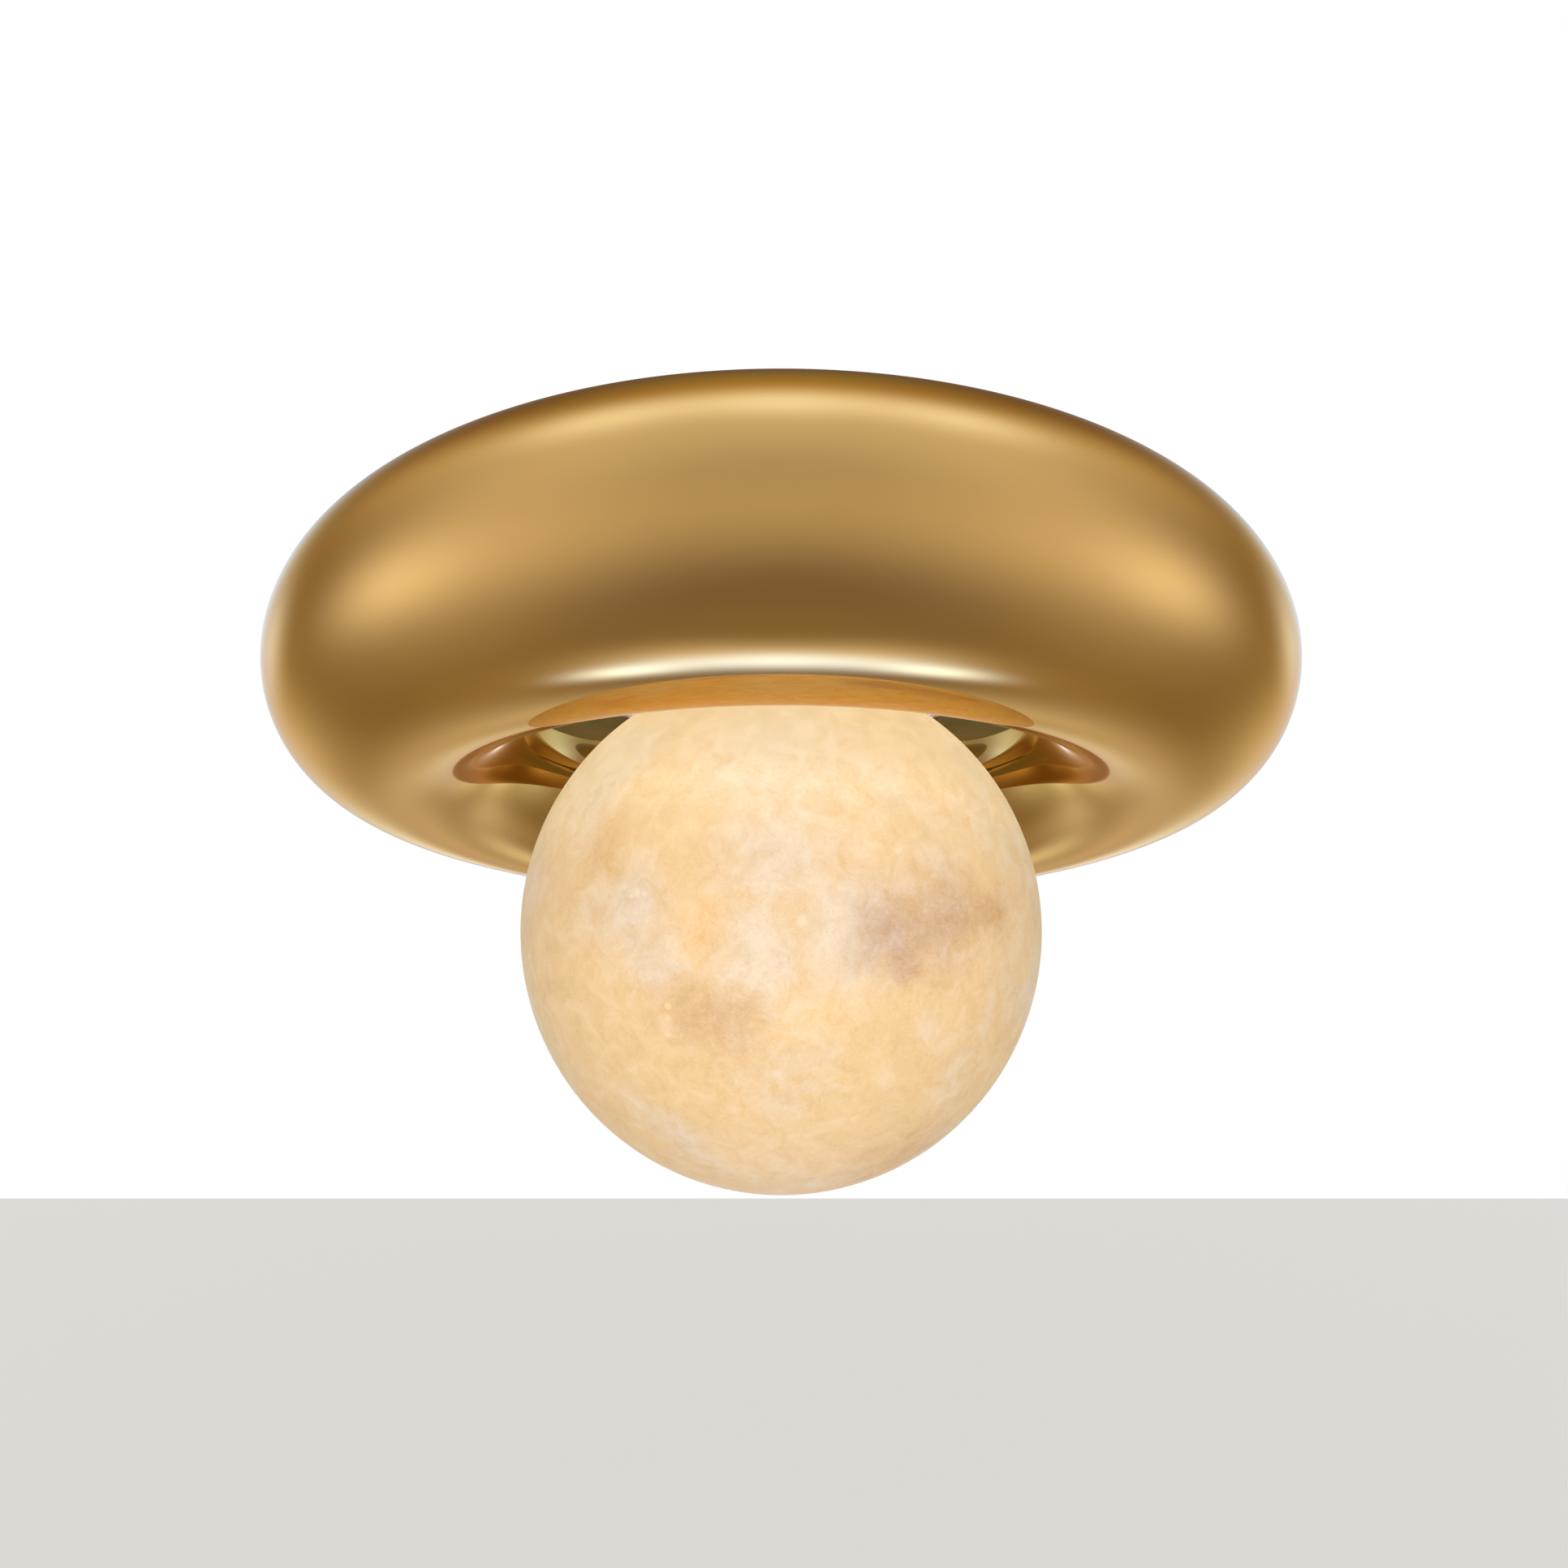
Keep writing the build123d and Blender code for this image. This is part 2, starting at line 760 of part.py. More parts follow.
save("ring_shell", ring_shell())
save("back_plate", back_plate())
save("ring_screws", ring_screws())
save("canopy_pan", canopy_pan())
save("pan_rivets", pan_rivets())
save("crossbar", crossbar())
save("mounting_studs", mounting_studs())
save("stud_nuts", stud_nuts())
save("cap_washers", cap_washers())
for side_name, stud_place in zip(("left", "right"), stud_places()):
    save(f"cap_nut_{side_name}", stud_place * cap_nut())
save("ground_screw", ground_screw())
save("ground_tag", ground_tag())
save("center_nipple", center_nipple())
save("nipple_bushing", nipple_bushing())
save("nipple_star_washer", nipple_star_washer())
save("nipple_top_nut", nipple_top_nut())
save("globe_holder", globe_holder())
save("slip_washer", slip_washer())
save("globe_collar", globe_collar())
save("mouth_gasket", mouth_gasket())
save("alabaster_globe", alabaster_globe())
save("inner_gasket", inner_gasket())
save("clamp_ring", clamp_ring())
save("nipple_spacer", nipple_spacer())
save("lamp_cup", lamp_cup())
save("lamp_cup_nut", lamp_cup_nut())
save("lamp_plate", lamp_plate())
save("lamp_hub", lamp_hub())
save("lamp_bus_tabs", lamp_bus_tabs())
for lamp in range(lamp_count):
    save(f"lamp_holder_{lamp + 1}", lamp_holder(lamp))
    save(f"bulb_{lamp + 1}_pins", bulb_pins(lamp))
    save(f"bulb_{lamp + 1}_base", bulb_base(lamp))
    save(f"bulb_{lamp + 1}_board", bulb_board(lamp))
    save(f"bulb_{lamp + 1}_envelope", bulb_envelope(lamp))
save("terminal_block", terminal_block())
for number, way_place in enumerate(block_ways()):
    save(f"terminal_screw_{number + 1}", way_place * terminal_screw())
save("neutral_lead", supply_lead(0))
save("live_lead", supply_lead(1))
save("ground_lead", ground_lead())
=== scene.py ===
import json
import bmesh
import bpy
import numpy as np
from math import cos, pi, radians, sin, sqrt
from mathutils import Matrix, Vector


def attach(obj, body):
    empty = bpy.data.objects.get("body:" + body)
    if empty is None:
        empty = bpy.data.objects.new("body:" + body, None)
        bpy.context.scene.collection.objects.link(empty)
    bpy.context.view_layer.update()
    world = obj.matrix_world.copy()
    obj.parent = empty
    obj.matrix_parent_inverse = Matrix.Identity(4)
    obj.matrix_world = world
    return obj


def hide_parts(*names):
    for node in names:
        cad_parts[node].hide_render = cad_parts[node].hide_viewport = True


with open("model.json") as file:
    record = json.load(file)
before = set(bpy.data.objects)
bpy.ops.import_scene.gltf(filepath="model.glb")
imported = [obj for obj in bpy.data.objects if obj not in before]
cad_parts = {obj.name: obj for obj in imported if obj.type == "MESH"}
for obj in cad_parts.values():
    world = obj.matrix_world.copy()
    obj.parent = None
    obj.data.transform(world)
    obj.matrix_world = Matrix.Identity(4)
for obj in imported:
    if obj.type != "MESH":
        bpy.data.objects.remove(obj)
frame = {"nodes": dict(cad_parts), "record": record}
nodes = frame["nodes"]
mm = 0.001
print("packed model loaded")
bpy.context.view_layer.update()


# sRGB hex to linear red, green, blue and alpha
def linearColor(hexText):
    parts = [int(hexText[i:i + 2], 16) / 255 for i in (1, 3, 5)]
    return [p / 12.92 if p <= 0.04045 else ((p + 0.055) / 1.055) ** 2.4 for p in parts] + [1.0]


# Adds one node: settings are its properties or its sockets' values, links are its sockets' sources
def addNode(tree, kind, settings=None, links=None):
    node = tree.nodes.new(kind)
    for name, value in (settings or {}).items():
        if isinstance(name, str) and hasattr(node, name):
            setattr(node, name, value)
        else:
            node.inputs[name].default_value = value
    for name, source in (links or {}).items():
        tree.links.new(source, node.inputs[name])
    return node


# Material with one Principled shader; the values go on the shader's own sockets
def startMaterial(name, hexText, values):
    material = bpy.data.materials.new(name)
    material.use_nodes = True
    tree = material.node_tree
    shader = tree.nodes["Principled BSDF"]
    shader.inputs["Base Color"].default_value = linearColor(hexText)
    for socket, value in values.items():
        shader.inputs[socket].default_value = value
    return material, tree, shader


# Mesh object from a grid of points (rows, columns, 3) in millimetres. Rows or columns that wrap join
# their ends, points that meet become one, and a closed form whose volume is negative is turned.
def gridPiece(name, grids, wrapRows=False, wrapColumns=True):
    grids = grids if isinstance(grids, list) else [grids]
    corners, faces, start = [], [], 0
    for points in grids:
        rows, columns = points.shape[:2]
        index = np.arange(rows * columns).reshape(rows, columns) + start
        if wrapColumns:
            index = np.concatenate([index, index[:, :1]], 1)
        if wrapRows:
            index = np.concatenate([index, index[:1]], 0)
        quads = np.stack([index[:-1, :-1], index[:-1, 1:], index[1:, 1:], index[1:, :-1]], -1)
        corners.append(points.reshape(-1, 3) * mm)
        faces.append(quads.reshape(-1, 4))
        start += rows * columns
    corners, faces = np.concatenate(corners), np.concatenate(faces)
    a, b, c, d = (corners[faces[:, i]] for i in range(4))
    if (np.einsum("ij,ij->i", a, np.cross(b, c)) + np.einsum("ij,ij->i", a, np.cross(c, d))).sum() < 0:
        faces = faces[:, ::-1]
    mesh = bpy.data.meshes.new(name)
    mesh.vertices.add(len(corners))
    mesh.vertices.foreach_set("co", corners.ravel())
    mesh.loops.add(faces.size)
    mesh.loops.foreach_set("vertex_index", faces.ravel())
    mesh.polygons.add(len(faces))
    mesh.polygons.foreach_set("loop_start", np.arange(len(faces)) * 4)
    mesh.polygons.foreach_set("loop_total", np.full(len(faces), 4))
    mesh.update(calc_edges=True)
    joined = bmesh.new()
    joined.from_mesh(mesh)
    bmesh.ops.remove_doubles(joined, verts=joined.verts, dist=1e-7)
    joined.to_mesh(mesh)
    joined.free()
    mesh.shade_smooth()
    mesh.set_sharp_from_angle(angle=radians(32))
    piece = bpy.data.objects.new(name, mesh)
    bpy.context.scene.collection.objects.link(piece)
    return piece


# Surface of revolution: each profile point (radius, height) goes round an upright axis
def turnedGrid(profile, segments, center=(0, 0)):
    angle = np.arange(segments) * 2 * pi / segments
    radius, height = np.asarray(profile, float).T
    x = center[0] + radius[:, None] * np.cos(angle)
    y = center[1] + radius[:, None] * np.sin(angle)
    z = np.broadcast_to(height[:, None], x.shape)
    return np.stack([x, y, z], -1)


# Points along an arc of a section, from one angle to another
def arc(centerRadius, centerHeight, radius, start, end, count):
    angle = np.radians(np.linspace(start, end, count))
    return np.stack([centerRadius + radius * np.cos(angle), centerHeight + radius * np.sin(angle)], -1)


def finishPiece(piece, body, material, slot, *replaced):
    piece.data.materials.append(material)
    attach(piece, body)
    if replaced:
        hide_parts(*replaced)
    return piece


# Brass ring: hollow tube bent to a circle, its open top closed by two lips under the back plate
ringValues = {"radius": 150.7, "tube": 45.6, "height": -43.6, "top": -2.0, "wall": 1.5, "lip": 8.0,
              "skinRows": 190, "backRows": 60, "segments": 384}


def buildRing(values, material):
    rise = values["top"] - values["height"]
    outer = np.degrees(np.arcsin(rise / values["tube"]))
    under = values["tube"] - values["wall"]
    inner = np.degrees(np.arcsin((rise - values["wall"]) / under))
    skin = arc(values["radius"], values["height"], values["tube"], outer, -180 - outer,
               values["skinRows"])
    back = arc(values["radius"], values["height"], under, -180 - inner, inner, values["backRows"])
    lip = values["lip"]
    left = [back[0] + (lip, 0), back[0] + (lip, values["wall"])]
    right = [back[-1] + (-lip, values["wall"]), back[-1] + (-lip, 0)]
    profile = np.vstack([skin, left[::-1], back, right[::-1]])
    ring = gridPiece("spun_ring", turnedGrid(profile, values["segments"]), wrapRows=True)
    return finishPiece(ring, "fixture", material, "polished_brass", "ring_shell")


# Stone globe: hollow ball with a mouth and a flat seat round it
globeValues = {"radius": 100.0, "wall": 8.0, "seat": 46.0, "seatHeight": -38.5, "mouth": 40.0,
               "outsideRows": 150, "insideRows": 80, "segments": 320}
globeMiddle = globeValues["seatHeight"] - sqrt(globeValues["radius"] ** 2 - globeValues["seat"] ** 2)


def buildGlobe(values, material):
    inner = values["radius"] - values["wall"]
    top = np.degrees(np.arccos(values["seat"] / values["radius"]))
    mouth = np.degrees(np.arccos(values["mouth"] / inner))
    outside = arc(0, globeMiddle, values["radius"], -90, top, values["outsideRows"])
    inside = arc(0, globeMiddle, inner, mouth, -90, values["insideRows"])
    neck = [(values["mouth"], values["seatHeight"])]
    profile = np.vstack([outside, neck, inside])
    globe = gridPiece("stone_globe", turnedGrid(profile, values["segments"]))
    return finishPiece(globe, "globe", material, "alabaster", "alabaster_globe")


# Painted reflection: brass that a ray meets after two mirrorings glows with a flat painted colour, its
# average reflection, in place of one more mirroring, because the long chains of them in the ring's throat
# would otherwise stop in black
def paintDeepReflections(tree, shader, color, glow):
    rays = addNode(tree, "ShaderNodeLightPath")
    deep = addNode(tree, "ShaderNodeMath", {"operation": "GREATER_THAN", 1: 1.5},
                   {0: rays.outputs["Ray Depth"]}).outputs[0]
    paintedReflectionShare = addNode(tree, "ShaderNodeMath", {"operation": "MULTIPLY"},
                    {0: deep, 1: rays.outputs["Is Glossy Ray"]}).outputs[0]
    shown = addNode(tree, "ShaderNodeMix", {"data_type": "RGBA", 7: (0, 0, 0, 1)}, {0: paintedReflectionShare, 6: color})
    tree.links.new(shown.outputs[2], shader.inputs["Base Color"])
    shader.inputs["Emission Color"].default_value = linearColor(glow)
    tree.links.new(paintedReflectionShare, shader.inputs["Emission Strength"])


# Distance from the upright axis and height, so that a pattern made of them runs in rings round the axis
def ringPlace(tree, place):
    flat = addNode(tree, "ShaderNodeVectorMath", {"operation": "MULTIPLY", 1: (1, 1, 0)}, {0: place})
    reach = addNode(tree, "ShaderNodeVectorMath", {"operation": "LENGTH"}, {0: flat.outputs[0]})
    upright = addNode(tree, "ShaderNodeSeparateXYZ", {}, {"Vector": place})
    return addNode(tree, "ShaderNodeCombineXYZ", {}, {"X": reach.outputs["Value"],
                                                      "Y": upright.outputs["Z"]}).outputs[0]


# Polished and lacquered brass: a deep gold mirror; the lathe leaves hair-fine rings that only dull it a
# little, the lacquer lies a shade thicker in places, and the last buffing leaves soft patches of haze
# the deep colour is the painted reflection that this brass glows with after two mirrorings
brassValues = {"color": "#C5A566", "thick": "#C2A161", "edge": "#F3DABC", "deep": "#AAAEAE", "clear": 0.02,
               "hazy": 0.045, "hazeMm": 26.0, "spinMm": 1.6, "spin": 0.008}


def polishedBrass(values):
    material, tree, shader = startMaterial("polished_lacquered_brass", values["color"],
                                           {"Metallic": 1.0, "Specular Tint": linearColor(values["edge"])})
    place = addNode(tree, "ShaderNodeTexCoord").outputs["Object"]
    haze = addNode(tree, "ShaderNodeTexNoise", {"Scale": 1 / (values["hazeMm"] * mm), "Detail": 3.0},
                   {"Vector": place})
    spin = addNode(tree, "ShaderNodeTexNoise", {"Scale": 1 / (values["spinMm"] * mm), "Detail": 1.0},
                   {"Vector": ringPlace(tree, place)})
    soft = addNode(tree, "ShaderNodeMapRange",
                   {"From Min": 0.3, "From Max": 0.7, "To Min": values["clear"], "To Max": values["hazy"]},
                   {"Value": haze.outputs[0]})
    rough = addNode(tree, "ShaderNodeMath", {"operation": "MULTIPLY_ADD", 1: values["spin"]},
                    {0: spin.outputs[0], 2: soft.outputs[0]})
    tree.links.new(rough.outputs[0], shader.inputs["Roughness"])
    lacquer = addNode(tree, "ShaderNodeMix", {"data_type": "RGBA", 6: linearColor(values["color"]),
                                              7: linearColor(values["thick"])}, {0: haze.outputs[0]})
    paintDeepReflections(tree, shader, lacquer.outputs[2], values["deep"])
    return material


# Soft round area, its sizes in millimetres: the given level inside the full radius, smoothly down to 0
# at the reach
def softSpot(tree, place, center, reach, full=0.0, level=1.0):
    away = addNode(tree, "ShaderNodeVectorMath", {"operation": "DISTANCE", 1: [c * mm for c in center]},
                   {0: place})
    spot = addNode(tree, "ShaderNodeMapRange", {"interpolation_type": "SMOOTHSTEP", "From Min": reach * mm,
                                                "From Max": full * mm, "To Max": level},
                   {"Value": away.outputs["Value"]})
    return spot.outputs[0]


# Honed alabaster: cream stone that turns amber in places, with pinkish milky clouds, fine mottling and
# fibres, grey and mauve stains and a few white crystals; a low glow stands for light that passes through,
# and its stronger, warmer rise towards the top is painted light that brightens the upper part of the globe.
# Places are millimetres from the middle of the globe, each with its reach; a Light pair is what a pattern's
# low and high ends multiply the stone by.
stoneValues = {
    # the top colour and the high glow strength are painted light that brightens the globe's upper part
    "amber": "#F4C98F", "milk": "#EBD1B6", "glow": "#FFFFD7", "paintedTopLight": "#FFE1A6", "glowLow": 0.11,
    "glowHighWithPaintedLight": 0.66, "glowFromMm": -8.0, "glowToMm": 84.0, "topFromMm": 20.0, "topToMm": 80.0,
    "cloudMm": 42.0, "mottleMm": 8.5, "fleckMm": 1.5, "wispMm": 3.2, "fibreMm": 1.5, "grainMm": 0.9,
    "driftMm": 11.0, "driftReachMm": 16.0, "cloudRange": (0.42, 0.78), "mottleMilk": 0.34,
    "mottleLight": (0.90, 1.09), "fleckLight": (0.965, 1.035), "wispLight": (1.05, 0.99),
    "streakShare": (0.72, 1.12), "stainSpread": 1.9, "crystalLight": (1.08, 1.12, 1.22, 1),
    "crystalLevel": 0.9, "relief": 0.15, "reliefMm": 0.2,
    "milkAreas": [((-2, -88, 42), 46), ((-2, -99, 6), 34), ((-6, -97, -24), 30), ((20, -96, -16), 34),
                  ((-47, -88, -9), 24), ((30, 88, 20), 40), ((-80, 50, -20), 36)],
    "stains": [
        ((45, -88, -15), 15, "#EBE6EB"), ((35, -92.3, -19), 10, "#EEE9ED"), ((57, -81, -11), 11, "#EDE6E8"),
        ((69.5, -71, -8), 7, "#E9DCD0"), ((38, -88, -28), 5, "#F0E9EA"), ((27, -94.5, -18), 10, "#F6F2F4"),
        ((-20.8, -88.3, -42), 10, "#F4F0F2"), ((-30.4, -86.3, -40), 9, "#F5F1F2"),
        ((-11.4, -89.2, -44), 8, "#F7F3F3"), ((-16.7, -84.9, -50), 11, "#F8F5F4"),
        ((-25.1, -95.2, -17.4), 8, "#FEF6E8"), ((-55.9, -81.8, 13), 10, "#F6EEE4"),
        ((72, 64, -30), 15, "#DCD1CD"), ((60, 72, -22), 9, "#D6CAC7"), ((-30, 92, 20), 17, "#E8DCD2"),
        ((-92, 20, -30), 12, "#E5D9D2"), ((40, -30, -85), 16, "#F1E6DA"), ((-10, 40, -90), 14, "#EADFD6"),
    ],
    "crystals": [((-45.1, -89.1, -4.3), 1.5), ((-42.6, -90.4, -4.9), 1.1), ((-47, -88.2, -5.1), 0.9),
                 ((6.2, -98.7, -14.5), 1.7), ((5.3, -95.7, 28.5), 1.0), ((-27.8, -88.6, 37.1), 1.2),
                 ((-34.8, -85.3, -38.9), 1.2), ((-35, -83.6, -42.4), 0.9), ((-35, -81, -47), 1.1),
                 ((-70.6, -60.7, -36.4), 1.2), ((-71.5, -58.8, -38.2), 0.9), ((50, 80, 33), 1.4),
                 ((-66, 70, -28), 1.3)],
}


def honedAlabaster(values):
    material, tree, shader = startMaterial("honed_alabaster", values["amber"],
                                           {"Roughness": 0.5, "IOR": 1.52, "Specular IOR Level": 0.25})
    place = addNode(tree, "ShaderNodeTexCoord").outputs["Object"]
    centered = addNode(tree, "ShaderNodeMapping", {"Location": (0, 0, -globeMiddle * mm)},
                       {"Vector": place}).outputs[0]
    # every area's edge wanders by up to half the drift's reach
    drift = addNode(tree, "ShaderNodeTexNoise",
                    {"Scale": 1 / (values["driftMm"] * mm), "Detail": 5.0, "Roughness": 0.65},
                    {"Vector": place})
    reach = values["driftReachMm"] * mm
    moved = addNode(tree, "ShaderNodeVectorMath", {"operation": "MULTIPLY_ADD", 1: (reach,) * 3},
                    {0: drift.outputs["Color"], 2: centered})
    warped = addNode(tree, "ShaderNodeVectorMath", {"operation": "SUBTRACT", 1: (reach / 2,) * 3},
                     {0: moved.outputs[0]}).outputs[0]
    # amber stone turns milky in the clouds, in the milk areas and in the pale parts of the mottling
    cloud = addNode(tree, "ShaderNodeTexNoise", {"Scale": 1 / (values["cloudMm"] * mm), "Detail": 3.0},
                    {"Vector": warped})
    cloudFrom, cloudTo = values["cloudRange"]
    milky = addNode(tree, "ShaderNodeMapRange",
                    {"interpolation_type": "SMOOTHSTEP", "From Min": cloudFrom, "From Max": cloudTo},
                    {"Value": cloud.outputs[0]}).outputs[0]
    for center, reach in values["milkAreas"]:
        area = softSpot(tree, warped, center, reach)
        milky = addNode(tree, "ShaderNodeMath", {"operation": "MAXIMUM"}, {0: area, 1: milky}).outputs[0]
    mottle = addNode(tree, "ShaderNodeTexNoise",
                     {"Scale": 1 / (values["mottleMm"] * mm), "Detail": 5.0, "Roughness": 0.68,
                      "Distortion": 0.6}, {"Vector": centered}).outputs[0]
    pale = addNode(tree, "ShaderNodeMapRange",
                   {"From Min": 0.35, "From Max": 0.65, "To Min": -values["mottleMilk"],
                    "To Max": values["mottleMilk"]}, {"Value": mottle})
    milky = addNode(tree, "ShaderNodeMath", {"operation": "ADD", "use_clamp": True},
                    {0: milky, 1: pale.outputs[0]}).outputs[0]
    stone = addNode(tree, "ShaderNodeMix", {"data_type": "RGBA", 6: linearColor(values["amber"]),
                                            7: linearColor(values["milk"])}, {0: milky}).outputs[2]
    # light and dark: mottling, flecks, and pale wisps where a twisted noise crosses its middle
    fleck = addNode(tree, "ShaderNodeTexNoise",
                    {"Scale": 1 / (values["fleckMm"] * mm), "Detail": 3.0, "Roughness": 0.6,
                     "Distortion": 1.4}, {"Vector": centered}).outputs[0]
    wisp = addNode(tree, "ShaderNodeTexNoise",
                   {"Scale": 1 / (values["wispMm"] * mm), "Detail": 2.0, "Distortion": 2.6},
                   {"Vector": centered})
    fromMiddle = addNode(tree, "ShaderNodeMath", {"operation": "SUBTRACT", 1: 0.5}, {0: wisp.outputs[0]})
    strand = addNode(tree, "ShaderNodeMath", {"operation": "ABSOLUTE"}, {0: fromMiddle.outputs[0]}).outputs[0]
    shares = []
    for pattern, low, high, pair in ((mottle, 0.3, 0.7, "mottleLight"), (fleck, 0.3, 0.7, "fleckLight"),
                                     (strand, 0.0, 0.05, "wispLight")):
        atLow, atHigh = values[pair]
        share = addNode(tree, "ShaderNodeMapRange",
                        {"From Min": low, "From Max": high, "To Min": atLow, "To Max": atHigh},
                        {"Value": pattern})
        shares.append(share.outputs[0])
    light = shares[0]
    for share in shares[1:]:
        light = addNode(tree, "ShaderNodeMath", {"operation": "MULTIPLY"}, {0: light, 1: share}).outputs[0]
    marks = addNode(tree, "ShaderNodeCombineXYZ", {}, {"X": light, "Y": light, "Z": light}).outputs[0]
    # stains lie in fibres, and the crystals don't wander with the drift
    laid = addNode(tree, "ShaderNodeMapping", {"Rotation": (0.3, 0.15, 0.4), "Scale": (0.22, 1, 1)},
                   {"Vector": warped})
    fibre = addNode(tree, "ShaderNodeTexNoise", {"Scale": 1 / (values["fibreMm"] * mm), "Detail": 3.0},
                    {"Vector": laid.outputs[0]})
    thin, thick = values["streakShare"]
    streak = addNode(tree, "ShaderNodeMapRange",
                     {"From Min": 0.32, "From Max": 0.68, "To Min": thin, "To Max": thick},
                     {"Value": fibre.outputs[0]}).outputs[0]
    for center, reach, tint in values["stains"]:
        area = softSpot(tree, warped, center, values["stainSpread"] * reach)
        part = addNode(tree, "ShaderNodeMath", {"operation": "MULTIPLY", "use_clamp": True},
                       {0: area, 1: streak}).outputs[0]
        marks = addNode(tree, "ShaderNodeMix", {"data_type": "RGBA", "blend_type": "MULTIPLY",
                                                7: linearColor(tint)}, {0: part, 6: marks}).outputs[2]
    for center, reach in values["crystals"]:
        area = softSpot(tree, centered, center, 1.3 * reach, 0.4 * reach, values["crystalLevel"])
        marks = addNode(tree, "ShaderNodeMix", {"data_type": "RGBA", 7: values["crystalLight"]},
                        {0: area, 6: marks}).outputs[2]
    # the glow is pale half way up the globe and weak below; its warmer colour and its rise towards the top
    # are painted light that brightens the upper part
    upright = addNode(tree, "ShaderNodeSeparateXYZ", {}, {"Vector": centered}).outputs["Z"]
    high = addNode(tree, "ShaderNodeMapRange",
                   {"From Min": values["topFromMm"] * mm, "From Max": values["topToMm"] * mm},
                   {"Value": upright}).outputs[0]
    glowAndPaintedTopLight = addNode(tree, "ShaderNodeMix", {"data_type": "RGBA", 6: linearColor(values["glow"]),
                                              7: linearColor(values["paintedTopLight"])}, {0: high}).outputs[2]
    for socket, color in (("Base Color", stone), ("Emission Color", glowAndPaintedTopLight)):
        marked = addNode(tree, "ShaderNodeMix", {"data_type": "RGBA", "blend_type": "MULTIPLY", 0: 1.0},
                         {6: color, 7: marks})
        tree.links.new(marked.outputs[2], shader.inputs[socket])
    glow = addNode(tree, "ShaderNodeMapRange",
                   {"interpolation_type": "SMOOTHSTEP", "From Min": values["glowFromMm"] * mm,
                    "From Max": values["glowToMm"] * mm, "To Min": values["glowLow"],
                    "To Max": values["glowHighWithPaintedLight"]}, {"Value": upright})
    tree.links.new(glow.outputs[0], shader.inputs["Emission Strength"])
    grain = addNode(tree, "ShaderNodeTexNoise", {"Scale": 1 / (values["grainMm"] * mm), "Detail": 2.0},
                    {"Vector": place})
    bump = addNode(tree, "ShaderNodeBump",
                   {"Strength": values["relief"], "Distance": values["reliefMm"] * mm},
                   {"Height": grain.outputs[0]})
    tree.links.new(bump.outputs[0], shader.inputs["Normal"])
    return material


fineRelief = 0.1 * mm  # depth that a relief of 1 would have on metal, plastic and glass


# Satin brass: spun and turned parts, whose rings round the axis blur what they mirror; the real rings
# are a tenth of a millimetre apart and are drawn coarser here so that they show
# the deep colour is the painted reflection that this brass glows with after two mirrorings
satinValues = {"bright": "#CBA968", "tarnished": "#B8924F", "deep": "#CFC7BA", "ringMm": 0.9,
               "patchMm": 22.0, "clear": 0.2, "dull": 0.34, "relief": 0.2}


def satinBrass(values):
    material, tree, shader = startMaterial("satin_spun_brass", values["bright"], {"Metallic": 1.0})
    place = addNode(tree, "ShaderNodeTexCoord").outputs["Object"]
    rings = addNode(tree, "ShaderNodeTexNoise", {"Scale": 1 / (values["ringMm"] * mm), "Detail": 2.0},
                    {"Vector": ringPlace(tree, place)})
    patch = addNode(tree, "ShaderNodeTexNoise", {"Scale": 1 / (values["patchMm"] * mm), "Detail": 4.0},
                    {"Vector": place})
    rough = addNode(tree, "ShaderNodeMapRange",
                    {"From Min": 0.3, "From Max": 0.7, "To Min": values["clear"], "To Max": values["dull"]},
                    {"Value": rings.outputs[0]})
    color = addNode(tree, "ShaderNodeMix", {"data_type": "RGBA", 6: linearColor(values["bright"]),
                                            7: linearColor(values["tarnished"])}, {0: patch.outputs[0]})
    bump = addNode(tree, "ShaderNodeBump", {"Strength": values["relief"], "Distance": fineRelief},
                   {"Height": rings.outputs[0]})
    tree.links.new(rough.outputs[0], shader.inputs["Roughness"])
    tree.links.new(bump.outputs[0], shader.inputs["Normal"])
    paintDeepReflections(tree, shader, color.outputs[2], values["deep"])
    return material


